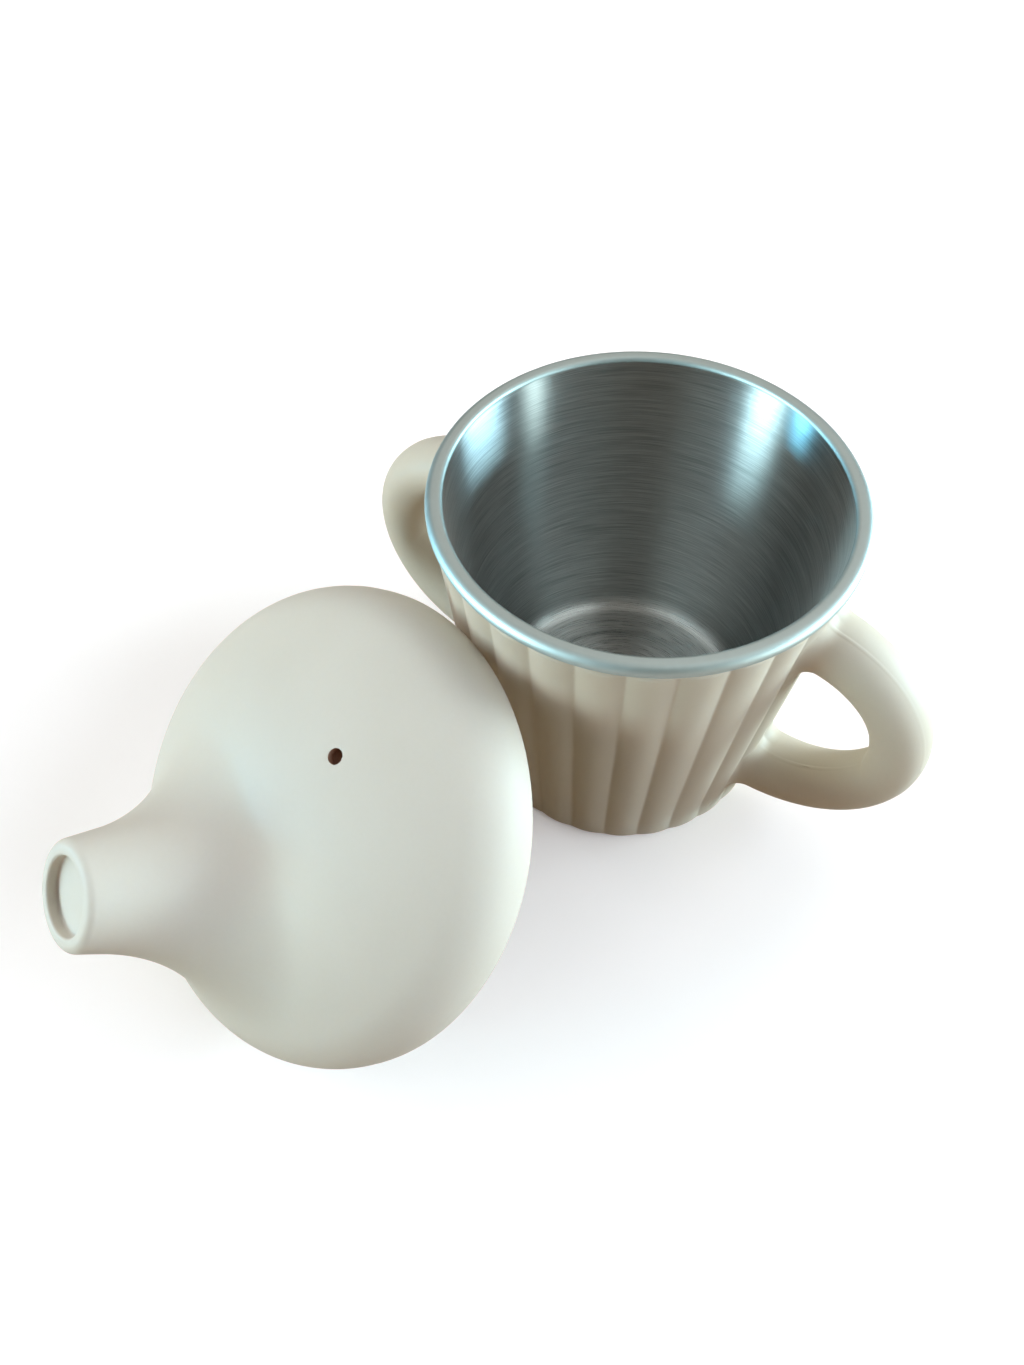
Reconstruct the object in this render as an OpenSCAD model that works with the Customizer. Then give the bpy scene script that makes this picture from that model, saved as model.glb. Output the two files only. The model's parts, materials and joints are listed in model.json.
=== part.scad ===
// Toddler's spout cup: a drawn steel liner in a ribbed silicone sleeve with two
// loop handles, and a silicone spout lid that is off the cup and leans on it.
// Millimetres, +Z up. The origin is the centre of the sleeve's base, and +X runs
// through the middle of the right handle.

/* [Liner] */
// Height of the rim above the base
cup_h = 74; // [66:1:90]
// Outer diameter of the rolled rim
rim_d = 80; // [74:1:90]
// Radius of the roll along the rim
rim_roll = 1.6; // [1.2:0.1:2]
// Thickness of the steel
steel_t = 0.5; // [0.4:0.1:0.8]
// Height of the liner's floor above the base
floor_z = 6; // [4:0.5:12]
// Diameter of the liner's floor inside its fillet
floor_d = 52; // [44:1:56]
// Radius of the fillet between floor and wall
floor_fillet = 4.5; // [3:0.5:6]
// Diameter of the raised middle of the floor
step_d = 38; // [20:1:42]
// Rise of the middle of the floor
step_h = 0.6; // [0.4:0.1:1.6]
// Run of the slope round the raised middle
step_run = 2.6; // [1:0.1:3]

/* [Sleeve] */
// Thickness of the sleeve over its ribs, at the base
sleeve_base_t = 2.2; // [1.6:0.1:4]
// Thickness of the sleeve over its ribs, at the top
sleeve_top_t = 1.7; // [1.5:0.1:4]
// Number of ribs round the sleeve, an even number
rib_count = 28; // [16:2:40]
// Depth of the valleys between the ribs
rib_depth = 0.6; // [0.3:0.1:1]
// Rounding of the sleeve's bottom edge
base_edge = 1.6; // [0.6:0.1:2]
// Rounding of the sleeve's top edge
top_edge = 0.8; // [0.4:0.1:1]
// Gap between the liner and the sleeve
sleeve_fit = 0.3; // [0.1:0.1:0.5]

/* [Handles] */
// Radius of a handle's loop, to the middle of its tube
loop_r = 22.3; // [18:0.1:26]
// Diameter of a handle's tube
handle_d = 12.2; // [8:0.2:14]
// Height of the middle of the loop above the base
handle_z = 36; // [34:0.5:40]

/* [Lid] */
// Thickness of the skirt outside the groove for the rim
skirt_t = 4.9; // [3:0.1:7]
// Height of the straight skirt below the shoulder
skirt_h = 1.4; // [1:0.1:4]
// Radius of the shoulder between skirt and dome
shoulder_r = 12; // [8:0.5:13]
// Radius of the dome
dome_r = 92; // [80:1:120]
// Thickness of the dome
dome_t = 2.6; // [2:0.1:3.5]
// Rounding of the skirt's bottom edge
skirt_edge = 0.8; // [0.4:0.1:1]
// Height of the lip that snaps under the rim
lip_h = 1.5; // [1:0.1:3]
// Gap between the lid and the rim in its groove
lid_fit = 0.3; // [0.1:0.1:0.6]
// Diameter of the vent hole
vent_d = 3.2; // [2:0.1:5]
// Tilt of the vent hole from the lid's axis
vent_tilt = 12.4; // [8:0.2:18]

/* [Spout] */
// Tilt of the spout from the lid's axis, square to the dome
spout_tilt = 12.5; // [6:0.5:13]
// Reach of the spout's tip above the dome
spout_reach = 24; // [18:0.5:34]
// Diameter of the spout at its tip
tip_d = 19; // [17:0.2:22]
// Taper of the spout's side
spout_taper = 10.5; // [4:0.5:12]
// Radius of the blend between the spout and the lid
flare_r = 26; // [14:1:28]
// Thickness of the spout's wall
spout_t = 2.4; // [1.6:0.1:3]
// Rounding of the spout's tip
tip_edge = 1.6; // [0.5:0.1:1.8]
// Diameter of the recess in the tip
recess_d = 14.2; // [9:0.2:14.4]
// Depth of the recess in the tip
recess_depth = 2.6; // [1:0.1:4]
// Thickness of the skin under the recess
tip_skin = 1.2; // [0.8:0.1:2]

/* [Leaning lid] */
// Direction from the cup to the leaning lid
lean_turn = 250; // [215:1:325]
// Angle of the leaning lid from flat
lean_tilt = 40.2; // [25:0.1:50]
// Turn of the lid about its own axis
lid_spin = -12; // [-180:1:180]
// Gap between the leaning lid and the sleeve
lean_gap = 0.6; // [0.2:0.1:0.9]

/* [Hidden] */
$fn = 96;

steel_colour = [0.66, 0.69, 0.69];
silicone_colour = [0.80, 0.77, 0.72];
lid_colour = [0.82, 0.80, 0.76];

// Liner: the wall's inner face is a line from the rim that touches the fillet
rim_r = rim_d / 2;
rim_in_r = rim_r - 2 * rim_roll;
wall_top_z = cup_h - rim_roll;
fillet_r = floor_d / 2;
fillet_z = floor_z + floor_fillet;
wall_run = rim_in_r - fillet_r;
wall_rise = wall_top_z - fillet_z;
wall_turn = atan2(wall_rise, wall_run) - acos(floor_fillet / norm([wall_run, wall_rise]));
wall_slope = tan(-wall_turn);
fillet_steps = 8;
// The roll ends where its underside meets the wall
roll_end = -130;
roll_steps = 18;

// Sleeve: its outside follows the liner's wall
sleeve_h = cup_h - 2 * rim_roll - sleeve_fit;
rib_steps = 6;
rib_sides = rib_count * rib_steps;
rib_turn = 360 / rib_sides;
edge_steps = 2;

// Lid: skirt, shoulder and dome flow into each other
lid_r = rim_r + lid_fit + skirt_t;
shoulder_c = lid_r - shoulder_r;
dome_z = skirt_h - sqrt(pow(dome_r - shoulder_r, 2) - pow(shoulder_c, 2));
dome_turn = acos(shoulder_c / (dome_r - shoulder_r));
// Lengths along the lid's outside, from the middle of the dome
dome_len = dome_r * (90 - dome_turn) * PI / 180;
side_len = dome_len + shoulder_r * dome_turn * PI / 180;
lid_sides = 64;
lid_turn = 360 / lid_sides;
edge_arc_steps = 3;
dome_steps = 9;
groove_r = rim_r + lid_fit;
groove_top = lip_h + 2 * (rim_roll + lid_fit);
ledge_r = rim_in_r;
lip_r = crest_r(sleeve_h) + lid_fit;

// Spout: drawn about its own axis, with heights from the middle of the dome's sphere
tip_z = dome_r + spout_reach;
side_line = tip_d / 2 * cos(spout_taper) + tip_z * sin(spout_taper);
tip_c_z = tip_z - tip_edge;
tip_c_r = (side_line - tip_edge - tip_c_z * sin(spout_taper)) / cos(spout_taper);
tip_steps = 4;
flare_steps = 9;
skirt_steps = 10;
halvings = 24;
bore_top = tip_z - recess_depth - tip_skin;

// Leaning lid: its low edge stands on the ground and its high edge nears a rib
edge_ring_r = lid_r - skirt_edge;
lean_z = edge_ring_r * sin(lean_tilt) + skirt_edge * (1 - cos(lean_tilt));
touch_z = lean_z + skirt_edge * cos(lean_tilt) + edge_ring_r * sin(lean_tilt);
touch_r = crest_r(touch_z) + (skirt_edge + lean_gap) / cos(wall_turn);
lean_out = touch_r + edge_ring_r * cos(lean_tilt) - skirt_edge * sin(lean_tilt);

// Cuts run this far past the faces that they open
past = 1;
bore_bottom = dome_r - dome_t - 2 * past;

// Points of an arc from angle a0 to angle a1 about a centre
function arc(centre, r, a0, a1, steps) =
    [for (i = [0:steps]) let (a = a0 + (a1 - a0) * i / steps) centre + r * [cos(a), sin(a)]];

// Points of a list, last one first
function reversed(list) = [for (i = [len(list) - 1:-1:0]) list[i]];

// Radius of the liner's inner wall at a height
function wall_r(z) = rim_in_r - wall_slope * (wall_top_z - z);

// Fillet and wall of the liner, moved outward by a distance from its inner face
function wall_points(out, top_z) = concat(
    arc([fillet_r, fillet_z], floor_fillet + out, -90, wall_turn, fillet_steps),
    [[wall_r(top_z) + out / cos(wall_turn), top_z]]);

// Floor of the liner with its raised middle, moved down by a distance
function floor_points(down) = [
    [0, floor_z + step_h - down],
    [step_d / 2, floor_z + step_h - down],
    [step_d / 2 + step_run, floor_z - down]];

// Radius over the sleeve's ribs at a height
function crest_r(z) = wall_r(z) + steel_t / cos(wall_turn) + sleeve_fit
    + sleeve_base_t + (sleeve_top_t - sleeve_base_t) * z / sleeve_h;

// Depth below the rib crests at a side's number, deepest in the valleys
function rib_drop(i) = rib_depth * pow(2 * (i % rib_steps) / rib_steps - 1, 2);

// Point at a radius and an angle about the Z axis
function round_point(r, a, z) = [r * cos(a), r * sin(a), z];

// Direction, and point, given in the spout's frame, in the lid's frame
function from_spout(p) = [
    p[0] * cos(spout_tilt) + p[2] * sin(spout_tilt),
    p[1],
    p[2] * cos(spout_tilt) - p[0] * sin(spout_tilt)];
function on_spout(r, a, z) = from_spout(round_point(r, a, z)) + [0, 0, dome_z];

// Whether a point is over the dome, and not over the shoulder
function over_dome(p) = atan2(p[2] - dome_z, norm([p[0], p[1]])) > dome_turn;

// Middle of the dome's sphere, or of the shoulder's arc that is nearest to a point
function round_middle(p) = over_dome(p) ? [0, 0, dome_z]
    : round_point(shoulder_c, atan2(p[1], p[0]), skirt_h);

// Distance of a point from the outside of the dome and shoulder
function lid_gap(p) = norm(p - round_middle(p)) - (over_dome(p) ? dome_r : shoulder_r);

// Length along the outside from the middle of the dome to a point on it
function length_to(p) = let (r = norm([p[0], p[1]])) over_dome(p)
    ? dome_r * atan2(r, p[2] - dome_z) * PI / 180
    : dome_len + shoulder_r * (dome_turn - atan2(p[2] - skirt_h, r - shoulder_c)) * PI / 180;

// Radius and height of the outside at a length from the middle of the dome
function outside_at(s) = s < dome_len
    ? let (a = s / dome_r * 180 / PI) [dome_r * sin(a), dome_z + dome_r * cos(a)]
    : let (a = dome_turn - (s - dome_len) / shoulder_r * 180 / PI)
        [shoulder_c + shoulder_r * cos(a), skirt_h + shoulder_r * sin(a)];

// Middle of a ball that rolls along the spout's side, and the height where it also rests on the lid
function ball(a, z) = on_spout((side_line + flare_r - z * sin(spout_taper)) / cos(spout_taper), a, z);
function ball_z(a, low, high, left) = let (z = (low + high) / 2)
    left == 0 ? z
    : lid_gap(ball(a, z)) < flare_r ? ball_z(a, z, high, left - 1) : ball_z(a, low, z, left - 1);

// Points of the blend at an angle about the spout, from the spout's side to the lid
function blend_points(a) = let (
    middle = ball(a, ball_z(a, dome_r, dome_r + 3 * flare_r, halvings)),
    to_spout = -from_spout(round_point(cos(spout_taper), a, sin(spout_taper))),
    to_lid = (round_middle(middle) - middle) / norm(round_middle(middle) - middle),
    sweep = acos(to_spout * to_lid))
    [for (i = [0:flare_steps]) let (part = sweep * i / flare_steps)
        middle + flare_r * (sin(sweep - part) * to_spout + sin(part) * to_lid) / sin(sweep)];

// Points along the lid from the foot of the blend to the skirt, on the flattened outside
function skirt_points(foot, a) = let (
    foot_a = atan2(foot[1], foot[0]),
    from = length_to(foot) * [cos(foot_a), sin(foot_a)],
    to = side_len * [cos(a), sin(a)])
    [for (i = [1:skirt_steps]) let (
        flat = from + (to - from) * i / skirt_steps,
        place = outside_at(norm(flat)))
        round_point(place[0], atan2(flat[1], flat[0]), place[1])];

// Line down the lid's outside from the spout's tip to the skirt's bottom edge
function lid_line(a) = let (blend = blend_points(a)) concat(
    [for (p = arc([tip_c_r, tip_c_z], tip_edge, 90, spout_taper, tip_steps)) on_spout(p[0], a, p[1])],
    blend,
    skirt_points(blend[flare_steps], a),
    [for (p = arc([edge_ring_r, skirt_edge], skirt_edge, 0, -90, edge_arc_steps))
        round_point(p[0], a, p[1])]);

// Heights and insets of the rings that round an edge of the sleeve, from its end inward
function edge_rings(r) = [for (i = [0:edge_steps]) let (a = 90 * i / edge_steps)
    [r * (1 - cos(a)), r * (1 - sin(a))]];

module liner_body() {
    roll_c = [rim_r - rim_roll, wall_top_z];
    inner = concat(floor_points(0), wall_points(0, wall_top_z));
    outer = concat(floor_points(steel_t), wall_points(steel_t, wall_top_z - rim_roll));
    rotate_extrude()
        polygon(concat(inner, arc(roll_c, rim_roll, 180, roll_end, roll_steps), reversed(outer)));
}

module sleeve_outside() {
    rings = concat(
        edge_rings(base_edge),
        [for (ring = reversed(edge_rings(top_edge))) [sleeve_h - ring[0], ring[1]]]);
    points = [for (ring = rings, i = [0:rib_sides - 1])
        let (r = crest_r(ring[0]) - ring[1] - rib_drop(i), a = i * rib_turn)
        [r * cos(a), r * sin(a), ring[0]]];
    sides = [for (k = [0:len(rings) - 2], i = [0:rib_sides - 1])
        let (j = (i + 1) % rib_sides, low = k * rib_sides, high = low + rib_sides)
        each [[low + i, high + i, high + j], [low + i, high + j, low + j]]];
    ends = [[0, 0, 0], [0, 0, sleeve_h]];
    low_end = len(points);
    last = low_end - rib_sides;
    caps = [for (i = [0:rib_sides - 1])
        let (j = (i + 1) % rib_sides)
        each [[low_end, i, j], [low_end + 1, last + j, last + i]]];
    polyhedron(concat(points, ends), concat(sides, caps));
}

module sleeve_cavity() {
    out = steel_t + sleeve_fit;
    top_z = cup_h + past;
    rotate_extrude()
        polygon(concat([[0, floor_z - out]], wall_points(out, top_z), [[0, top_z]]));
}

module handle_loop() {
    translate([crest_r(handle_z), 0, handle_z])
        rotate([90, 0, 0])
            rotate_extrude()
                translate([loop_r, 0])
                    circle(d = handle_d);
}

// Skin over lines that run from a first end to a last end, side by side round a middle
module skin(lines, first, last) {
    count = len(lines);
    long = len(lines[0]);
    points = [for (line = lines) each line];
    sides = [for (i = [0:count - 1], k = [0:long - 2])
        let (a = i * long + k, b = (i + 1) % count * long + k)
        each [[a, b + 1, b], [a, a + 1, b + 1]]];
    ends = [for (i = [0:count - 1])
        let (a = i * long, b = (i + 1) % count * long)
        each [[count * long, a, b], [count * long + 1, b + long - 1, a + long - 1]]];
    polyhedron(concat(points, [first, last]), concat(sides, ends));
}

module lid_outside() {
    skin([for (i = [0:lid_sides - 1]) lid_line(i * lid_turn)], on_spout(0, 0, tip_z), [0, 0, 0]);
}

module lid_cavity() {
    inside_r = dome_r - dome_t;
    inside_turn = acos(ledge_r / inside_r);
    rotate_extrude()
        polygon(concat(
            [[0, -past], [lip_r, -past], [lip_r, lip_h], [groove_r, lip_h], [groove_r, groove_top],
                [ledge_r, groove_top]],
            arc([0, dome_z], inside_r, inside_turn, 90, dome_steps)));
}

module spout_cuts() {
    inner_line = side_line - spout_t;
    low_r = (inner_line - bore_bottom * sin(spout_taper)) / cos(spout_taper);
    high_r = (inner_line - bore_top * sin(spout_taper)) / cos(spout_taper);
    translate([0, 0, bore_bottom])
        cylinder(h = bore_top - bore_bottom, r1 = low_r, r2 = high_r);
    translate([0, 0, tip_z - recess_depth])
        cylinder(h = recess_depth + past, d = recess_d);
}

// Moves a shape from the dome's sphere to its tilted place on the lid
module on_dome(tilt) {
    translate([0, 0, dome_z])
        rotate([0, tilt, 0])
            children();
}

// Leans the lid on the cup
module leaning() {
    rotate([0, 0, lean_turn])
        translate([lean_out, 0, lean_z])
            rotate([0, lean_tilt, 0])
                rotate([0, 0, lid_spin])
                    children();
}

module liner() {
    color(steel_colour) liner_body();
}

module sleeve() {
    color(silicone_colour)
        difference() {
            sleeve_outside();
            sleeve_cavity();
        }
}

module right_handle() {
    color(silicone_colour)
        difference() {
            handle_loop();
            sleeve_outside();
        }
}

module left_handle() {
    color(silicone_colour)
        difference() {
            rotate([0, 0, 180]) handle_loop();
            sleeve_outside();
        }
}

module lid() {
    color(lid_colour)
        leaning()
            difference() {
                lid_outside();
                lid_cavity();
                on_dome(spout_tilt) spout_cuts();
                on_dome(-vent_tilt)
                    translate([0, 0, bore_bottom - past])
                        cylinder(h = dome_r + 2 * past - bore_bottom, d = vent_d);
            }
}

liner();
sleeve();
right_handle();
left_handle();
lid();
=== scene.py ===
"""Toddler's spout cup: a brushed steel liner in a ribbed silicone sleeve, with its lid leaning on it."""
import json
from math import acos, asin, atan2, cos, hypot, pi, radians, sin, sqrt, tan

import bmesh
import bpy
from mathutils import Matrix, Vector

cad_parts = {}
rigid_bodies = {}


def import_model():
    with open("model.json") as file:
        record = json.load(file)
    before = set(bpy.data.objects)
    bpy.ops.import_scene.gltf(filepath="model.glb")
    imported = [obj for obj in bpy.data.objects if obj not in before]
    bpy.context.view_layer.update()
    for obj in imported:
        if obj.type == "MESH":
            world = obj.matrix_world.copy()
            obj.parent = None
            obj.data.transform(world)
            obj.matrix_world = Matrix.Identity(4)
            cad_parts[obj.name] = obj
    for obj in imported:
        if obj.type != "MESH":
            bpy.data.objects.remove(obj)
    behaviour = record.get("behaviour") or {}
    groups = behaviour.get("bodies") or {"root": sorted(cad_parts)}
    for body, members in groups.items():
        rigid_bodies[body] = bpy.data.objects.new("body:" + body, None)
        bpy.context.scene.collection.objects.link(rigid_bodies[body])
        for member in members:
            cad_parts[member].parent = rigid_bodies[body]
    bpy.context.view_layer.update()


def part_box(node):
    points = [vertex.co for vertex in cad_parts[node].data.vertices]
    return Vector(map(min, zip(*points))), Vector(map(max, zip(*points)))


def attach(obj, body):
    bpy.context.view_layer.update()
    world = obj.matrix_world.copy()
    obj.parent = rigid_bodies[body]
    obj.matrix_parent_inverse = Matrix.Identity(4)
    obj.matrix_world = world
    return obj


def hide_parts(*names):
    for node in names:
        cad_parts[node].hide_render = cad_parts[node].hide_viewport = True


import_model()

# Sizes are in millimetres, and the meshes are in metres
MM = 0.001

# Liner: the wall is a line from the rim that touches the fillet round the floor
cup_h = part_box("liner")[1].z / MM
rim_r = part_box("liner")[1].x / MM
rim_roll = 1.6
steel_t = 0.5
floor_z = 6
floor_r = 26
floor_fillet = 4.5
step_r = 19
step_h = 0.6
step_run = 2.6
rim_in_r = rim_r - 2 * rim_roll
wall_top_z = cup_h - rim_roll
fillet_z = floor_z + floor_fillet
wall_run = rim_in_r - floor_r
wall_rise = wall_top_z - fillet_z
wall_turn = atan2(wall_rise, wall_run) - acos(floor_fillet / hypot(wall_run, wall_rise))
wall_slope = tan(-wall_turn)

# Rim: a flat band between a soft inner corner and a curl that turns under
curl_r = 1.5
rim_corner = 0.9
curl_end_degrees = -130

# Sleeve: its outside follows the liner's wall
sleeve_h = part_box("sleeve")[1].z / MM
sleeve_base_t = 2.2
sleeve_top_t = 1.7
sleeve_fit = 0.3
base_edge = 1.6
top_edge = 1.2
rib_count = 28
rib_depth = 0.8
rib_crease = 0.08
# The mesh's points gather in the valleys between the ribs
rib_crowd = 0.6
# The ribs fade out towards the base
foot_share = 0.25
foot_fade = 9

# Handles: half a loop each, thicker at its roots, most at the lower one
loop_reach = 22.9
loop_rise = 22.4
handle_z = 36
tube_depth = 5.5
tube_width = 6.1
root_gain = 0.95
low_gain = 0.5
root_fillet = 3.2
root_depth = 0.5
# The opening is tightest at its lower outer corner
corner_turn = radians(-14)
corner_half = radians(42)
corner_depth = 1.1
# The mould's parting line runs beside the middle of the tube
parting_y = -2.2
parting_h = 0.16
parting_w = 0.24

# Lid: skirt, shoulder and dome flow into each other
lid_fit = 0.3
skirt_t = 4.9
skirt_h = 1.4
shoulder_r = 12
dome_r = 92
dome_t = 2.6
skirt_edge = 0.8
lip_h = 1.5
lid_r = rim_r + lid_fit + skirt_t
shoulder_c = lid_r - shoulder_r
dome_z = skirt_h - sqrt((dome_r - shoulder_r) ** 2 - shoulder_c ** 2)
dome_turn = acos(shoulder_c / (dome_r - shoulder_r))
dome_len = dome_r * (pi / 2 - dome_turn)
side_len = dome_len + shoulder_r * dome_turn
inside_r = dome_r - dome_t
groove_r = rim_r + lid_fit
groove_top = lip_h + 2 * (rim_roll + lid_fit)
lip_edge = 0.4
vent_r = 1.44
vent_end_r = 0.3
vent_edge = 0.08
vent_tilt = radians(12.4)

# Spout: heights run from the middle of the dome's sphere along the spout's axis,
# and the flare's radius gains at its sides and is trimmed towards the dome's middle
spout_tilt = radians(12.5)
spout_reach = 24
spout_taper = radians(10.5)
tip_r = 9.5
tip_edge = 1.6
flare_r = 26
flare_gain = 8
flare_trim = 15
spout_t = 2.4
mouth_edge = 3
recess_r = 6.9
recess_depth = 2.0
recess_edge = 0.5
tip_skin = 1.8
tip_z = dome_r + spout_reach
side_line = tip_r * cos(spout_taper) + tip_z * sin(spout_taper)
bore_line = side_line - spout_t
bore_top = tip_z - recess_depth - tip_skin

# Leaning lid: its low edge stands on the ground and its high edge nears a rib
lean_turn = radians(250)
lean_tilt = radians(40.2)
lid_spin = radians(-12)
lean_gap = 0.6

# Camera
eye = (54.95, -120.39, 201.52)
look_azimuth = radians(-54.62)
look_elevation = radians(55.24)
look_roll = radians(-1.16)
photo_focal = 1000
photo_height = 1365
sensor = 36

# Lamps, in metres
lamp_aim = (-0.01, -0.03, 0.03)
lamp_distance = 0.9


class Wire:
    """An output socket of a node tree. Arithmetic on it adds Math nodes to the tree."""

    def __init__(self, tree, socket=None):
        self.tree = tree
        self.socket = socket

    def add(self, kind, settings=None, inputs=None, out=0):
        """Adds a node, sets it up, fills its sockets and gives back the output or outputs asked for."""
        node = self.tree.nodes.new(kind)
        for name, value in (settings or {}).items():
            setattr(node, name, value)
        for key, value in (inputs or {}).items():
            if isinstance(value, Wire):
                self.tree.links.new(value.socket, node.inputs[key])
            else:
                node.inputs[key].default_value = value
        if isinstance(out, tuple):
            return [Wire(self.tree, node.outputs[name]) for name in out]
        return Wire(self.tree, node.outputs[out])

    def maths(self, operation, *values):
        return self.add("ShaderNodeMath", {"operation": operation}, dict(enumerate(values)))

    def __add__(self, other):
        return self.maths("ADD", self, other)

    def __radd__(self, other):
        return self.maths("ADD", other, self)

    def __sub__(self, other):
        return self.maths("SUBTRACT", self, other)

    def __rsub__(self, other):
        return self.maths("SUBTRACT", other, self)

    def __mul__(self, other):
        return self.maths("MULTIPLY", self, other)

    def __rmul__(self, other):
        return self.maths("MULTIPLY", other, self)

    def __truediv__(self, other):
        return self.maths("DIVIDE", self, other)

    def __rtruediv__(self, other):
        return self.maths("DIVIDE", other, self)

    def least(self, other):
        return self.maths("MINIMUM", self, other)

    def most(self, other):
        return self.maths("MAXIMUM", self, other)

    def size(self):
        return self.maths("ABSOLUTE", self)

    def root(self):
        return self.maths("SQRT", self)

    def part(self):
        return self.maths("FRACT", self)

    def whole(self):
        return self.maths("FLOOR", self)

    def sine(self):
        return self.maths("SINE", self)

    def cosine(self):
        return self.maths("COSINE", self)

    def split(self):
        return self.add("ShaderNodeSeparateXYZ", inputs={0: self}, out=("X", "Y", "Z"))

    def joined(self, x, y, z):
        return self.add("ShaderNodeCombineXYZ", inputs={0: x, 1: y, 2: z})


# Plain shapes

def arc(centre, r, start, end, steps):
    """Points of an arc about a centre, with angles in degrees."""
    angles = [radians(start + (end - start) * i / steps) for i in range(steps + 1)]
    return [(centre[0] + r * cos(a), centre[1] + r * sin(a)) for a in angles]


def line(first, last, steps):
    """Points from one to another, without the first."""
    shares = [(i + 1) / steps for i in range(steps)]
    return [(first[0] + (last[0] - first[0]) * s, first[1] + (last[1] - first[1]) * s) for s in shares]


def wall_r(z):
    """Radius of the liner's inner wall at a height."""
    return rim_in_r - wall_slope * (wall_top_z - z)


def crest_r(z):
    """Radius over the sleeve's ribs at a height."""
    skin = sleeve_base_t + (sleeve_top_t - sleeve_base_t) * z / sleeve_h
    return wall_r(z) + steel_t / cos(wall_turn) + sleeve_fit + skin


def rib_share(z):
    """Share of the ribs' full depth at a height."""
    share = min(z / foot_fade, 1)
    return foot_share + (1 - foot_share) * share * (2 - share)


def fillet_points(out):
    """Fillet round the floor, moved outward from the liner's inner face."""
    return arc((floor_r, fillet_z), floor_fillet + out, -90, wall_turn * 180 / pi, 12)


def step_points(down):
    """Floor with its raised middle, from the middle outward, moved down."""
    steps = 8
    rise = [(step_r + step_run * i / steps, (1 + cos(pi * i / steps)) / 2) for i in range(steps + 1)]
    return [(0, floor_z + step_h - down), (step_r / 2, floor_z + step_h - down)] + [
        (r, floor_z + step_h * share - down) for r, share in rise]


def new_object(name, points, edges=(), faces=()):
    mesh = bpy.data.meshes.new(name)
    mesh.from_pydata(points, edges, faces)
    mesh.update()
    made = bpy.data.objects.new(name, mesh)
    bpy.context.scene.collection.objects.link(made)
    return made


def evaluated(made):
    """The object's mesh with its modifiers applied, with outward faces and no empty material slots."""
    seen = made.evaluated_get(bpy.context.evaluated_depsgraph_get())
    mesh = bpy.data.meshes.new_from_object(seen)
    made.modifiers.clear()
    made.data = mesh
    work = bmesh.new()
    work.from_mesh(mesh)
    bmesh.ops.recalc_face_normals(work, faces=work.faces)
    work.to_mesh(mesh)
    work.free()
    for slot in reversed(range(len(mesh.materials))):
        if mesh.materials[slot] is None:
            mesh.materials.pop(index=slot)
    return made


def smooth(made, sharp_angle=40):
    for face in made.data.polygons:
        face.use_smooth = True
    made.data.set_sharp_from_angle(angle=radians(sharp_angle))


def paint(made, material, wanted):
    """Gives a material to the faces whose middles pass a test."""
    made.data.materials.append(material)
    last = len(made.data.materials) - 1
    for face in made.data.polygons:
        if wanted(face.center):
            face.material_index = last


# Geometry Nodes

def geometry_tree(name, inputs):
    """A tree with named inputs, and wires from them."""
    tree = bpy.data.node_groups.new(name, "GeometryNodeTree")
    tree.interface.new_socket("Geometry", in_out="INPUT", socket_type="NodeSocketGeometry")
    tree.interface.new_socket("Geometry", in_out="OUTPUT", socket_type="NodeSocketGeometry")
    for label, kind in inputs.items():
        tree.interface.new_socket(label, in_out="INPUT", socket_type="NodeSocket" + kind)
    return Wire(tree).add("NodeGroupInput", out=("Geometry", *inputs))


def close_tree(shape, material):
    """Ends a tree: closed seams and poles, real geometry and its material."""
    shape = shape.add("GeometryNodeMergeByDistance", inputs={"Geometry": shape, "Distance": 0.002 * MM})
    shape = shape.add("GeometryNodeSetShadeSmooth", inputs={"Geometry": shape})
    shape = shape.add("GeometryNodeRealizeInstances", inputs={"Geometry": shape})
    shape = shape.add("GeometryNodeSetMaterial", inputs={"Geometry": shape, "Material": material})
    end = shape.tree.nodes.new("NodeGroupOutput")
    shape.tree.links.new(shape.socket, end.inputs["Geometry"])


def grow(made, tree, values):
    """Puts a tree on an object with its inputs set, and turns the result into a plain mesh."""
    modifier = made.modifiers.new(tree.name, "NODES")
    modifier.node_group = tree
    items = tree.interface.items_tree
    sockets = {item.name: item.identifier for item in items if item.in_out == "INPUT"}
    for label, value in values.items():
        modifier[sockets[label]] = value
    return evaluated(made)


def rib_drop(turns, depth, crease):
    """Depth below the rib crests, where each turn is one rib that starts in a valley."""
    away = (turns.part() * 2 - 1).size()
    soft = (away - 1 + crease).most(0)
    return depth * (away * away - soft * soft / crease)


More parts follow.
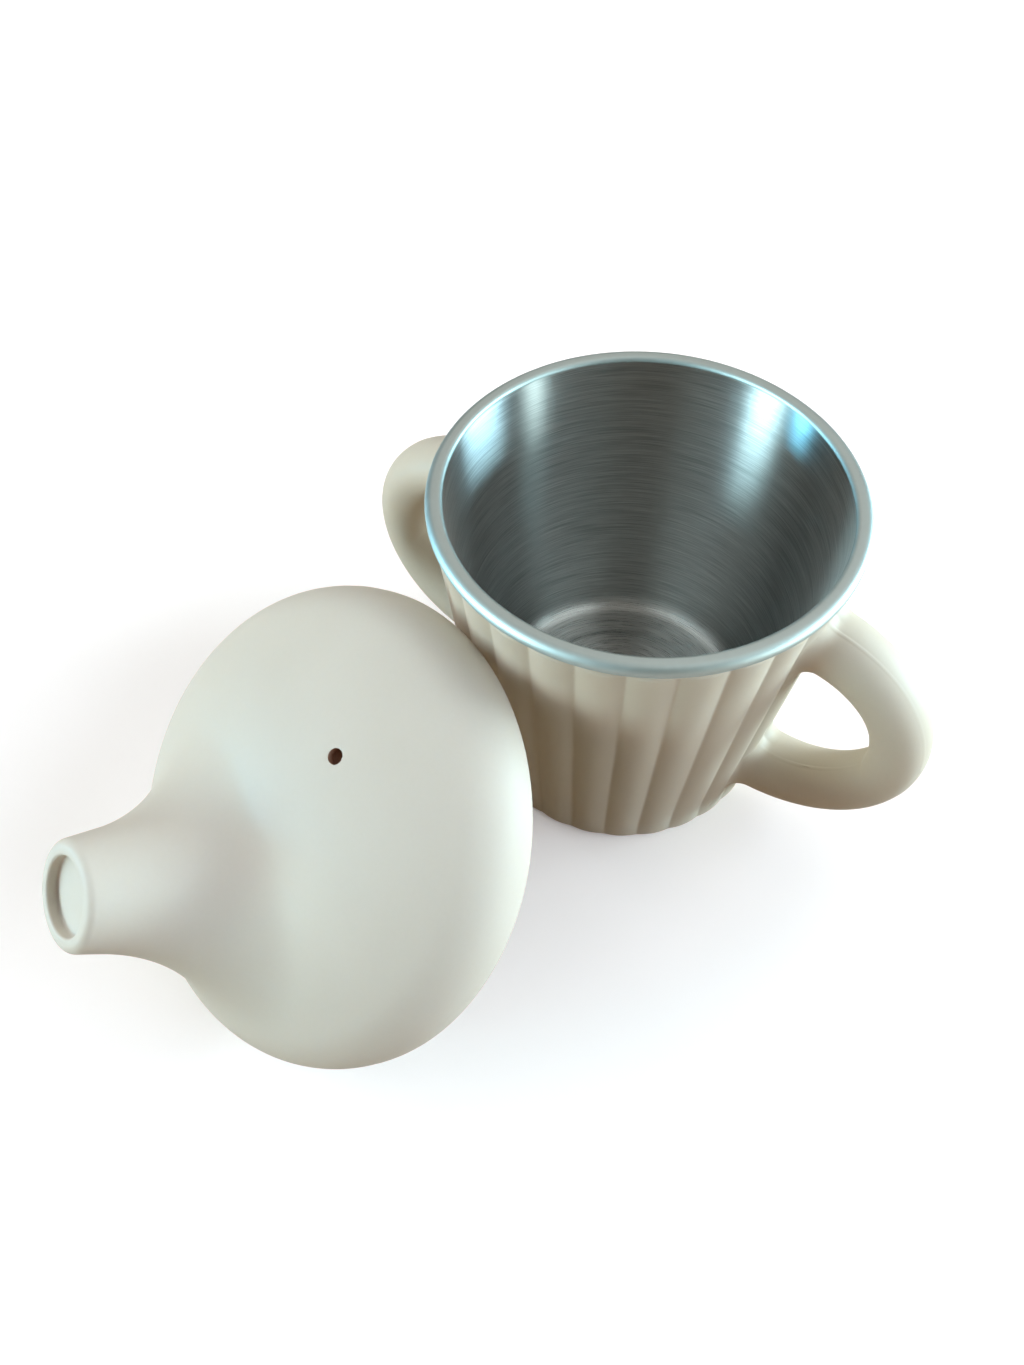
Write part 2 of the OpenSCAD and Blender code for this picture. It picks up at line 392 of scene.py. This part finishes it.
def turned_wall_tree(material):
    """Turns a section about the Z axis, with ribs where the section's points ask for them."""
    section, sides, ribs, depth, crease, crowd = geometry_tree("turned wall", {
        "Sides": "Int", "Rib count": "Float", "Rib depth": "Float", "Crease": "Float", "Crowding": "Float"})
    rows = section.add("GeometryNodeAttributeDomainSize", inputs={"Geometry": section}, out="Point Count")
    grid = section.add("GeometryNodeMeshGrid", inputs={"Vertices X": rows, "Vertices Y": sides + 1})
    index = section.add("GeometryNodeInputIndex")
    # The nudge keeps a whole row number from rounding down
    nudge = 0.0005
    row = (index / (sides + 1) + nudge).whole()
    turns = (index - row * (sides + 1)) / sides * ribs
    lean = (turns * (2 * pi)).sine() * crowd / (2 * pi)
    turns = turns - lean
    place = section.add("GeometryNodeSampleIndex", {"data_type": "FLOAT_VECTOR"}, {
        "Geometry": section, "Value": section.add("GeometryNodeInputPosition"), "Index": row})
    ribbed = section.add("GeometryNodeInputNamedAttribute", {"data_type": "FLOAT"}, {"Name": "ribbed"})
    ribbed = section.add("GeometryNodeSampleIndex", {"data_type": "FLOAT"}, {
        "Geometry": section, "Value": ribbed, "Index": row})
    r, _, z = place.split()
    r = r - rib_drop(turns, depth, crease) * ribbed
    angle = turns / ribs * (2 * pi)
    spot = section.joined(r * angle.cosine(), r * angle.sine(), z)
    shape = section.add("GeometryNodeSetPosition", inputs={"Geometry": grid, "Position": spot})
    close_tree(shape, material)
    return section.tree


def turned(name, section, tree, sides, ribs=1, depth=0.0, crowd=0.0):
    """A turned piece from a section of radius, height and, where it is ribbed, a third value."""
    made = new_object(name, [(p[0] * MM, 0, p[1] * MM) for p in section],
                      [(i, i + 1) for i in range(len(section) - 1)])
    ribbed = made.data.attributes.new("ribbed", "FLOAT", "POINT")
    ribbed.data.foreach_set("value", [p[2] if len(p) > 2 else 0.0 for p in section])
    return grow(made, tree, {"Sides": sides, "Rib count": float(ribs), "Rib depth": depth * MM,
                             "Crease": rib_crease, "Crowding": crowd})


def handle_tree(material):
    """A tube along half a ring that flares into a ribbed wall and ends just under its surface."""
    base, rings, sides, loop_x, loop_z, height, thin, wide, gain, fillet, foot_r, slope, ribs, depth, turn = \
        geometry_tree("loop handle", {
            "Rings": "Int", "Sides": "Int", "Loop reach": "Float", "Loop rise": "Float",
            "Loop height": "Float", "Tube depth": "Float", "Tube width": "Float", "Root gain": "Float",
            "Root fillet": "Float", "Wall radius": "Float", "Wall slope": "Float", "Rib count": "Float",
            "Rib depth": "Float", "Turn": "Float"})
    grid = base.add("GeometryNodeMeshGrid", inputs={
        "Size X": 1, "Size Y": 1, "Vertices X": rings, "Vertices Y": sides + 1})
    along, around, _ = base.add("GeometryNodeInputPosition").split()
    # The last rings at each end close the tube
    cap_share = 0.03
    end_turn = radians(112)
    shrink = ((0.5 - along.size()) / cap_share).least(1)
    along = (along / (0.5 - cap_share)).most(-1).least(1)
    angle = along * end_turn
    # Points gather on the outer and inner sides of the tube, where the parting line runs
    gather = 0.35
    phi = around * (2 * pi)
    phi = phi - (phi * 2).sine() * gather
    out, side = phi.cosine(), phi.sine()
    swell = gain * along * along + (along * -low_gain * MM).most(0)
    wide = wide + swell
    seam = (1 - ((wide * side - parting_y * MM) / (parting_w * MM)).size()).most(0)
    swell = swell + seam * seam * (parting_h * MM)
    corner = (1 - ((angle - corner_turn) / corner_half).size()).most(0)
    dent = corner * corner * (out * -corner_depth * MM).most(0)
    middle = foot_r + height * slope

    def spot_at(grown):
        deep = (thin + swell - dent + grown) * out * shrink
        x = middle + (loop_x + deep) * angle.cosine()
        return x, (wide + grown) * side * shrink, height + (loop_z + deep) * angle.sine()

    def wall_at(x, y, z):
        turns = x.maths("ARCTAN2", y, x) / (2 * pi) * ribs
        return foot_r + z * slope - rib_drop(turns, depth, rib_crease)

    # The fillet is settled in a few rounds, because the wall under it depends on how far it spreads
    rounds = 5
    damping = 0.5
    sunk_share = 0.06
    grown = gain * 0
    for _ in range(rounds):
        x, y, z = spot_at(grown)
        gap = (x * x + y * y).root() - wall_at(x, y, z)
        inward = (fillet - (gap + fillet * sunk_share)).most(0).least(fillet)
        grown = (grown + fillet - (fillet * fillet - inward * inward).root()) * damping
    x, y, z = spot_at(grown)
    flat = (x * x + y * y).root()
    lowest = wall_at(x, y, z) - root_depth * MM
    push = flat.most(lowest) / flat
    spot = base.joined(x * push, y * push, z)
    shape = base.add("GeometryNodeSetPosition", inputs={"Geometry": grid, "Position": spot})
    about_z = base.joined(0, 0, turn)
    shape = base.add("GeometryNodeTransform", inputs={"Geometry": shape, "Rotation": about_z})
    close_tree(shape, material)
    return base.tree


# Materials

def new_material(name):
    """A material, a wire to add nodes with, and its shader node."""
    material = bpy.data.materials.new(name)
    material.use_nodes = True
    tree = material.node_tree
    shader = next(node for node in tree.nodes if node.type == "BSDF_PRINCIPLED")
    return material, Wire(tree), shader


def feed(shader, label, wire):
    wire.tree.links.new(wire.socket, shader.inputs[label])


def linear(*rgb):
    """A colour given as the screen shows it, from 0 to 255, as light."""
    shares = [value / 255 for value in rgb]
    return tuple(s / 12.92 if s <= 0.04045 else ((s + 0.055) / 1.055) ** 2.4 for s in shares) + (1,)


def noise(wire, place, scale, detail=2.0, roughness=0.5):
    return wire.add("ShaderNodeTexNoise", inputs={
        "Vector": place, "Scale": scale, "Detail": detail, "Roughness": roughness}, out="Fac")


def blended(wire, share, first, second):
    """A colour between two, as a Mix node gives it."""
    return wire.add("ShaderNodeMix", {"data_type": "RGBA"}, {0: share, 6: first, 7: second}, out=2)


def silicone(name, pale, deep):
    """Satin silicone: a faint mottle, fine moulded pores and soft light under the skin."""
    material, wire, shader = new_material(name)
    place = wire.add("ShaderNodeTexCoord", out="Object")
    mottle = noise(wire, place, 45, 3.0)
    grain = noise(wire, place, 1400, 2.0)
    pores = noise(wire, place, 5200, 1.0)
    feed(shader, "Base Color", blended(wire, mottle * 0.75 + grain * 0.25, deep, pale))
    feed(shader, "Roughness", 0.44 + mottle * 0.1 + pores * 0.06)
    bump = wire.add("ShaderNodeBump", inputs={
        "Strength": 0.35, "Distance": 0.02 * MM, "Height": grain * 0.5 + pores * 0.5})
    feed(shader, "Normal", bump)
    shader.inputs["IOR"].default_value = 1.41
    shader.inputs["Specular IOR Level"].default_value = 0.25
    shader.inputs["Sheen Weight"].default_value = 0.03
    shader.inputs["Sheen Roughness"].default_value = 0.4
    shader.inputs["Subsurface Weight"].default_value = 0.12
    shader.inputs["Subsurface Scale"].default_value = 2.5 * MM
    shader.inputs["Subsurface Radius"].default_value = (1.0, 0.75, 0.5)
    return material


def brushed_steel():
    """Steel brushed round the cup's axis, with streaks of different depth and length."""
    material, wire, shader = new_material("brushed steel")
    x, y, z = wire.add("ShaderNodeTexCoord", out="Object").split()
    r = (x * x + y * y).root().most(0.5 * MM)
    profile = z + r

    def streaks(length, width):
        """Noise drawn out along the brushing."""
        place = wire.joined(x / r * length, y / r * length, profile / (width * MM))
        return noise(wire, place, 1, 2.0, 0.6)

    fine = streaks(3.2, 0.17)
    broad = streaks(1.6, 0.6)
    cloud = noise(wire, wire.joined(x, y, z), 60, 2.0)
    contrast = 2.8
    brushing = ((fine * 0.75 + broad * 0.25 - 0.5) * contrast + 0.5).most(0).least(1)
    feed(shader, "Base Color", blended(wire, brushing, linear(158, 162, 162), linear(212, 215, 213)))
    wall = wire.add("ShaderNodeMapRange", {"interpolation_type": "SMOOTHSTEP"}, {
        "Value": z, "From Min": (floor_z + step_h) * MM, "From Max": (fillet_z + 4) * MM})
    feed(shader, "Roughness", 0.24 + wall * 0.09 + brushing * 0.05 + cloud * 0.03)
    bump = wire.add("ShaderNodeBump", inputs={
        "Strength": 0.6, "Distance": 0.012 * MM, "Height": brushing})
    feed(shader, "Normal", bump)
    shader.inputs["Metallic"].default_value = 1.0
    shader.inputs["Anisotropic"].default_value = 1.0
    shader.inputs["Anisotropic Rotation"].default_value = 0.25
    return material


def satin_steel():
    """Steel of the rim, with a soft sheen that is much the same all round."""
    material, wire, shader = new_material("satin rim steel")
    place = wire.add("ShaderNodeTexCoord", out="Object")
    grain = noise(wire, place, 900, 2.0)
    cloud = noise(wire, place, 70, 2.0)
    sheen = grain * 0.5 + cloud * 0.5
    feed(shader, "Base Color", blended(wire, sheen, linear(170, 175, 172), linear(186, 192, 189)))
    feed(shader, "Roughness", 0.47 + grain * 0.08 + cloud * 0.06)
    bump = wire.add("ShaderNodeBump", inputs={"Strength": 0.2, "Distance": 0.01 * MM, "Height": grain})
    feed(shader, "Normal", bump)
    shader.inputs["Metallic"].default_value = 1.0
    return material


# Steel liner

def make_liner():
    curl = (rim_r - curl_r, cup_h - curl_r)
    corner = (rim_in_r + rim_corner, cup_h - rim_corner)
    inner = step_points(0) + fillet_points(0)
    inner += line(inner[-1], (wall_r(corner[1]), corner[1]), 14)[:-1]
    rim = arc(corner, rim_corner, 180, 90, 10) + arc(curl, curl_r, 90, curl_end_degrees, 28)
    outer_top = curl[1] - curl_r
    outer = step_points(steel_t) + fillet_points(steel_t)
    outer += line(outer[-1], (wall_r(outer_top) + steel_t / cos(wall_turn), outer_top), 8)
    made = turned("steel_liner", inner + rim + outer[::-1], turned_wall_tree(brushed_steel()), 224)
    smooth(made)

    def on_rim(centre):
        return centre.z > corner[1] * MM or flat_r(centre) > (rim_in_r + rim_corner) * MM

    paint(made, satin_steel(), on_rim)
    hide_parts("liner")
    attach(made, "liner")


# Silicone sleeve with its two handles

def make_sleeve():
    material = silicone("sleeve silicone", linear(210, 199, 181), linear(200, 188, 169))
    out = steel_t + sleeve_fit
    rib_sides = 20
    # Inside its foot and at its inner top edge the section has points at small steps
    foot_in, edge_drop, edge_in = 4, 0.2, 0.25
    lip_degrees = 84
    low = (crest_r(base_edge) - base_edge, base_edge)
    top_z = sleeve_h - top_edge
    high = (crest_r(top_z) - top_edge, top_z)
    outside = arc(low, base_edge, -90, 0, 8)
    outside += line(outside[-1], (crest_r(top_z), top_z), 28)
    outside += arc(high, top_edge, 0, lip_degrees, 8)[1:]
    wall_top = wall_r(sleeve_h) + out / cos(wall_turn)
    inside = fillet_points(out)
    inside += line(inside[-1], (wall_top, sleeve_h - edge_drop), 10)
    section = [(0, 0, 0), (low[0] - foot_in, 0, 0)]
    section += [(r, z, rib_share(z)) for r, z in outside]
    section += [(wall_top + edge_in, sleeve_h, 0)]
    section += [(r, z, 0) for r, z in inside[::-1]]
    section += [(0, floor_z - out, 0)]
    made = turned("silicone_sleeve", section, turned_wall_tree(material), rib_count * rib_sides,
                  rib_count, rib_depth, rib_crowd)
    tree = handle_tree(material)
    slope = (crest_r(sleeve_h) - crest_r(0)) / sleeve_h
    for turn in (0.0, pi):
        handle = grow(new_object("handle", [(0, 0, 0)]), tree, {
            "Rings": 180, "Sides": 120, "Loop reach": loop_reach * MM, "Loop rise": loop_rise * MM,
            "Loop height": handle_z * MM, "Tube depth": tube_depth * MM, "Tube width": tube_width * MM,
            "Root gain": root_gain * MM, "Root fillet": root_fillet * MM,
            "Wall radius": crest_r(0) * MM, "Wall slope": slope, "Rib count": float(rib_count),
            "Rib depth": rib_depth * MM, "Turn": turn})
        joint = made.modifiers.new("handle", "BOOLEAN")
        joint.operation = "UNION"
        joint.solver = "MANIFOLD"
        joint.object = handle
    evaluated(made)
    for handle in [o for o in bpy.data.objects if o.name.startswith("handle")]:
        bpy.data.objects.remove(handle)
    smooth(made, 50)
    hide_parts("sleeve", "right_handle", "left_handle")
    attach(made, "cup")


# Silicone lid

def round_point(r, a, z):
    return Vector((r * cos(a), r * sin(a), z))


to_lid_frame = Matrix.Rotation(spout_tilt, 3, "Y")
to_vent = Matrix.Rotation(-vent_tilt, 3, "Y")
dome_middle = Vector((0, 0, dome_z))


def on_spout(r, a, z):
    """A point given about the spout's axis, in the lid's frame."""
    return to_lid_frame @ round_point(r, a, z) + dome_middle


def flat_r(point):
    return hypot(point.x, point.y)


def over_dome(point):
    """Whether a point is over the dome, and not over the shoulder."""
    return atan2(point.z - dome_z, flat_r(point)) > dome_turn


def round_middle(point):
    """Middle of the dome, or of the shoulder's arc that is nearest to a point."""
    if over_dome(point):
        return dome_middle
    return round_point(shoulder_c, atan2(point.y, point.x), skirt_h)


def length_to(point):
    """Length along the lid's outside from the middle of the dome to a point on it."""
    r = flat_r(point)
    if over_dome(point):
        return dome_r * atan2(r, point.z - dome_z)
    return dome_len + shoulder_r * (dome_turn - atan2(point.z - skirt_h, r - shoulder_c))


def outside_at(length, azimuth):
    """Point of the lid's outside at a length from the middle of the dome."""
    if length < dome_len:
        a = length / dome_r
        return round_point(dome_r * sin(a), azimuth, dome_z + dome_r * cos(a))
    a = dome_turn - (length - dome_len) / shoulder_r
    return round_point(shoulder_c + shoulder_r * cos(a), azimuth, skirt_h + shoulder_r * sin(a))


def ball_r(a):
    """Flare's radius at an angle about the spout: wide at its sides, tight towards the dome's middle."""
    return flare_r + flare_gain * sin(a) ** 2 - flare_trim * ((1 - cos(a)) / 2) ** 3


def ball_middle(a):
    """Middle of a ball that rests on the spout's side and on the lid, at an angle about the spout."""
    ball = ball_r(a)
    low, high = dome_r, dome_r + 3 * ball
    for _ in range(40):
        z = (low + high) / 2
        middle = on_spout((side_line + ball - z * sin(spout_taper)) / cos(spout_taper), a, z)
        rest = dome_r if over_dome(middle) else shoulder_r
        if (middle - round_middle(middle)).length < rest + ball:
            low = z
        else:
            high = z
    return middle


def blend_points(a, steps):
    """Points from the spout's side to the lid along the ball."""
    middle = ball_middle(a)
    to_spout = to_lid_frame @ -round_point(cos(spout_taper), a, sin(spout_taper))
    to_lid = (round_middle(middle) - middle).normalized()
    sweep = to_spout.angle(to_lid)
    turns = [sweep * i / steps for i in range(steps + 1)]
    ways = [(sin(sweep - t) * to_spout + sin(t) * to_lid) / sin(sweep) for t in turns]
    return [middle + ball_r(a) * way for way in ways]


def across(first_len, first_a, last_len, last_a, steps, surface):
    """Points over a domed surface between two of its points, straight on its flattened sheet."""
    first = Vector((first_len * cos(first_a), first_len * sin(first_a)))
    last = Vector((last_len * cos(last_a), last_len * sin(last_a)))
    flat = [first.lerp(last, (i + 1) / steps) for i in range(steps)]
    return [surface(p.length, atan2(p.y, p.x)) for p in flat]


def inside_at(length, azimuth):
    """Point of the dome's inner face at a length from its middle."""
    a = length / inside_r
    return round_point(inside_r * sin(a), azimuth, dome_z + inside_r * cos(a))


def lid_line(a):
    """Points round the lid's wall at an angle, from the recess in the tip to the top of the bore."""
    recess_z = tip_z - recess_depth
    tip_c_z = tip_z - tip_edge
    tip_c_r = (side_line - tip_edge - tip_c_z * sin(spout_taper)) / cos(spout_taper)
    tip = arc((recess_r - recess_edge, recess_z + recess_edge), recess_edge, -90, 0, 4)
    tip += arc((recess_r + recess_edge, tip_z - recess_edge), recess_edge, 180, 90, 5)
    tip += arc((tip_c_r, tip_c_z), tip_edge, 90, spout_taper * 180 / pi, 8)
    points = [on_spout(recess_r / 2, a, recess_z)] + [on_spout(r, a, z) for r, z in tip]
    blend = blend_points(a, 30)
    points += [points[-1].lerp(blend[0], share) for share in (0.25, 0.5, 0.75)] + blend
    foot = blend[-1]
    points += across(length_to(foot), atan2(foot.y, foot.x), side_len, a, 26, outside_at)

    # Skirt's edge, lip, groove and ledge
    lip_r = crest_r(sleeve_h) + lid_fit
    ledge_turn = asin(rim_in_r / inside_r)
    under = arc((lid_r - skirt_edge, skirt_edge), skirt_edge, 0, -90, 6)
    under += arc((lip_r + lip_edge, lip_edge), lip_edge, -90, -180, 4)
    under += arc((lip_r + lip_edge, lip_h - lip_edge), lip_edge, 180, 90, 4)
    under += [(groove_r, lip_h)]
    under += arc((groove_r - lip_edge, groove_top - lip_edge), lip_edge, 0, 90, 4)
    under += arc((rim_in_r + lip_edge, groove_top + lip_edge), lip_edge, -90, -180, 4)
    points += [round_point(r, a, z) for r, z in under]

    # Dome's inner face, mouth of the bore and the bore
    mouth_reach = inside_r + mouth_edge
    mouth_turn = asin((bore_line + mouth_edge) / mouth_reach) - spout_taper
    mouth = (mouth_reach * sin(mouth_turn), mouth_reach * cos(mouth_turn))
    mouth_arc = arc(mouth, mouth_edge, -90 - mouth_turn * 180 / pi, -180 + spout_taper * 180 / pi, 8)
    rim_of_mouth = on_spout(mouth_arc[0][0], a, mouth_arc[0][1])
    mouth_len = inside_r * atan2(flat_r(rim_of_mouth), rim_of_mouth.z - dome_z)
    mouth_a = atan2(rim_of_mouth.y, rim_of_mouth.x)
    ledge_len = inside_r * ledge_turn
    points += [inside_at(ledge_len, a)]
    points += across(ledge_len, a, mouth_len, mouth_a, 16, inside_at)
    bore_edge = 1.0
    top_r = (bore_line - (bore_top - bore_edge) * sin(spout_taper)) / cos(spout_taper)
    bore = mouth_arc[1:]
    bore += line(bore[-1], (top_r, bore_top - bore_edge), 6)
    bore += arc((top_r - bore_edge, bore_top - bore_edge), bore_edge, spout_taper * 180 / pi, 90, 5)[1:]
    return points + [on_spout(r, a, z) for r, z in bore]


def skin(name, lines, first, last):
    """A closed mesh over lines side by side round a middle, with a point at each end."""
    count, long = len(lines), len(lines[0])
    points = [p for one in lines for p in one] + [first, last]
    faces = []
    for i in range(count):
        here, there = i * long, (i + 1) % count * long
        faces += [(here + k, here + k + 1, there + k + 1, there + k) for k in range(long - 1)]
        faces += [(count * long, here, there), (count * long + 1, there + long - 1, here + long - 1)]
    return new_object(name, points, faces=faces)


def vent_cutter(pose):
    """A round cutter with a soft edge at the dome's outside, which narrows at its inner face."""
    top = arc((vent_r + vent_edge, dome_r - vent_edge), vent_edge, 180, 98, 6)
    low, high = inside_r - 1, dome_r + 1
    narrow_to, wide_from = inside_r + 0.2, inside_r + 0.8
    section = [(vent_end_r, low), (vent_end_r, narrow_to), (vent_r, wide_from)]
    section += top + [(top[-1][0], high)]
    sides = 64

    def spot(r, i, z):
        return pose @ (to_vent @ round_point(r, i * 2 * pi / sides, z) + dome_middle)

    lines = [[spot(r, i, z) for r, z in section] for i in range(sides)]
    return skin("vent_cutter", lines, spot(0, 0, low), spot(0, 0, high))


def make_lid():
    ring = lid_r - skirt_edge
    lean_z = ring * sin(lean_tilt) + skirt_edge * (1 - cos(lean_tilt))
    touch_z = lean_z + skirt_edge * cos(lean_tilt) + ring * sin(lean_tilt)
    touch_r = crest_r(touch_z) + (skirt_edge + lean_gap) / cos(wall_turn)
    lean_out = touch_r + ring * cos(lean_tilt) - skirt_edge * sin(lean_tilt)
    pose = Matrix.Scale(MM, 4) @ Matrix.Rotation(lean_turn, 4, "Z")
    pose = pose @ Matrix.Translation((lean_out, 0, lean_z)) @ Matrix.Rotation(lean_tilt, 4, "Y")
    pose = pose @ Matrix.Rotation(lid_spin, 4, "Z")
    sides = 192
    lines = [[pose @ p for p in lid_line(i * 2 * pi / sides)] for i in range(sides)]
    recess_middle, bore_middle = [pose @ on_spout(0, 0, z) for z in (tip_z - recess_depth, bore_top)]
    made = skin("spout_lid", lines, recess_middle, bore_middle)
    made.data.materials.append(silicone("lid silicone", linear(215, 206, 192), linear(206, 196, 181)))
    evaluated(made)
    cutter = evaluated(vent_cutter(pose))
    vent = made.modifiers.new("vent", "BOOLEAN")
    vent.operation = "DIFFERENCE"
    vent.solver = "MANIFOLD"
    vent.object = cutter
    evaluated(made)
    bpy.data.objects.remove(cutter)
    smooth(made)

    def in_vent(centre):
        spot = to_vent.inverted() @ (pose.inverted() @ centre - dome_middle)
        return 0 < spot.z < dome_r - vent_edge and flat_r(spot) < vent_r + 0.02

    # The hole's wall is given painted shade: a darker brown that stands in for the shade deep inside the hole
    paint(made, silicone("vent shade", linear(162, 124, 100), linear(142, 106, 86)), in_vent)
    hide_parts("lid")
    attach(made, "lid")


# Studio

def make_backdrop():
    """A floor that turns up into a wall far round the object, white to the camera."""
    floor_reach, bend, wall_top = 1.6, 0.5, 1.2
    wall_height = 0.3
    pale_from = 0.55
    floor_glint = 0.4
    section = [(0, 0), (0.3, 0), (floor_reach, 0)]
    section += arc((floor_reach, bend), bend, -90, 0, 12)[1:] + [(floor_reach + bend, wall_top)]
    sides = 96
    points = [(r * cos(i * 2 * pi / sides), r * sin(i * 2 * pi / sides), z)
              for r, z in section for i in range(sides)]
    faces = []
    for k in range(len(section) - 1):
        low, high = k * sides, (k + 1) * sides
        faces += [(low + i, low + (i + 1) % sides, high + (i + 1) % sides, high + i) for i in range(sides)]
    made = new_object("studio_backdrop", points, faces=faces)
    work = bmesh.new()
    work.from_mesh(made.data)
    bmesh.ops.remove_doubles(work, verts=work.verts, dist=1e-6)
    work.to_mesh(made.data)
    work.free()
    material, wire, shader = new_material("backdrop paper")
    seen, glossy, through = wire.add("ShaderNodeLightPath", out=(
        "Is Camera Ray", "Is Glossy Ray", "Is Transmission Ray"))
    place = wire.add("ShaderNodeTexCoord", out="Object")
    grain = noise(wire, place, 90)
    x, y, z = place.split()
    wall = (z / wall_height).least(1)
    far = wire.add("ShaderNodeMapRange", {"interpolation_type": "SMOOTHSTEP"}, {
        "Value": (x * x + y * y).root(), "From Min": pale_from, "From Max": floor_reach})
    mirrored = glossy.most(through)
    paper = blended(wire, grain, linear(158, 131, 101), linear(168, 141, 111))
    white = seen.most(mirrored * (1 - wall) * floor_glint)
    feed(shader, "Base Color", blended(wire, white, paper, linear(252, 240, 234)))
    glow = blended(wire, mirrored * wall, (0, 0, 0, 1), linear(92, 87, 80))
    lift = blended(wire, seen * far, linear(104, 104, 104), linear(205, 203, 200))
    feed(shader, "Emission Color", blended(wire, white, glow, lift))
    shader.inputs["Emission Strength"].default_value = 1.0
    shader.inputs["Roughness"].default_value = 0.9
    shader.inputs["Specular IOR Level"].default_value = 0.0
    made.data.materials.append(material)
    smooth(made)


def add_lamp(name, azimuth, elevation, width, height, power, colour, on_steel=True, on_silicone=True):
    """A soft panel that faces the cup from a direction given in degrees."""
    lamp = bpy.data.lights.new(name, "AREA")
    lamp.shape = "RECTANGLE"
    lamp.size = width
    lamp.size_y = height
    lamp.energy = power
    lamp.color = colour
    made = bpy.data.objects.new(name, lamp)
    flat = cos(radians(elevation))
    way = Vector((flat * cos(radians(azimuth)), flat * sin(radians(azimuth)), sin(radians(elevation))))
    made.location = Vector(lamp_aim) + lamp_distance * way
    made.rotation_euler = (-way).to_track_quat("-Z", "Y").to_euler()
    made.visible_camera = False
    made.visible_glossy = on_steel
    made.visible_diffuse = on_silicone
    bpy.context.scene.collection.objects.link(made)


def make_light():
    # Windows, wall and ceiling
    add_lamp("right_window", 39, 9, 0.42, 0.26, 6.6, (0.60, 0.88, 1.0))
    add_lamp("left_window", 237, 13, 0.26, 0.36, 4.6, (0.60, 0.91, 1.0))
    add_lamp("back_wall", 115, 46, 1.2, 0.6, 2.0, (1.0, 1.0, 0.96))
    add_lamp("ceiling", 60, 78, 0.9, 0.9, 0.8, (1.0, 0.97, 0.92))
    # Soft panels that light the silicone and do not show in the steel
    add_lamp("right_wall", 20, 32, 1.0, 0.5, 9.0, (0.72, 0.86, 1.0), on_steel=False)
    add_lamp("right_low", 42, 14, 0.5, 0.3, 2.4, (0.92, 1.0, 0.96), on_steel=False)
    add_lamp("left_wall", 200, 32, 0.9, 0.5, 6.0, (0.83, 0.92, 1.0), on_steel=False)
    add_lamp("warm_fill", 257, 10, 0.5, 0.3, 1.0, (1.0, 0.68, 0.58), on_steel=False)
    # Panes that show in the steel and do not light the silicone
    add_lamp("right_glint", 40, 9, 0.34, 0.26, 7.4, (0.42, 0.83, 1.0), on_silicone=False)
    add_lamp("right_pane", 6, 9, 0.13, 0.28, 3.0, (0.78, 1.0, 1.0), on_silicone=False)
    add_lamp("left_glint", 237, 16, 0.25, 0.46, 6.4, (0.58, 0.92, 1.0), on_silicone=False)
    add_lamp("left_pane", 215, 6, 0.13, 0.16, 7.5, (0.20, 0.70, 1.0), on_silicone=False)
    add_lamp("right_high", 30, 58, 0.8, 0.6, 1.6, (0.92, 1.0, 1.0), on_silicone=False)
    add_lamp("left_high", 225, 58, 0.8, 0.6, 1.6, (0.92, 1.0, 1.0), on_silicone=False)
    world = bpy.data.worlds.new("studio")
    world.use_nodes = True
    sky = next(node for node in world.node_tree.nodes if node.type == "BACKGROUND")
    wire = Wire(world.node_tree)
    glossy, through = wire.add("ShaderNodeLightPath", out=("Is Glossy Ray", "Is Transmission Ray"))
    feed(sky, "Color", blended(wire, glossy.most(through), linear(40, 34, 28), linear(96, 90, 82)))
    bpy.context.scene.world = world
    bpy.context.scene.view_settings.view_transform = "Standard"


def make_camera():
    camera = bpy.data.cameras.new("camera")
    camera.sensor_width = sensor
    camera.lens = sensor * photo_focal / photo_height
    camera.clip_start = 0.01
    made = bpy.data.objects.new("camera", camera)
    back = Vector((cos(look_elevation) * cos(look_azimuth), cos(look_elevation) * sin(look_azimuth),
                   sin(look_elevation)))
    right = Vector((0, 0, 1)).cross(back).normalized()
    turn = Matrix((right, back.cross(right), back)).transposed() @ Matrix.Rotation(look_roll, 3, "Z")
    made.matrix_world = Matrix.Translation(Vector(eye) * MM) @ turn.to_4x4()
    bpy.context.scene.collection.objects.link(made)
    bpy.context.scene.camera = made


make_camera()
make_liner()
make_sleeve()
make_lid()
make_backdrop()
make_light()
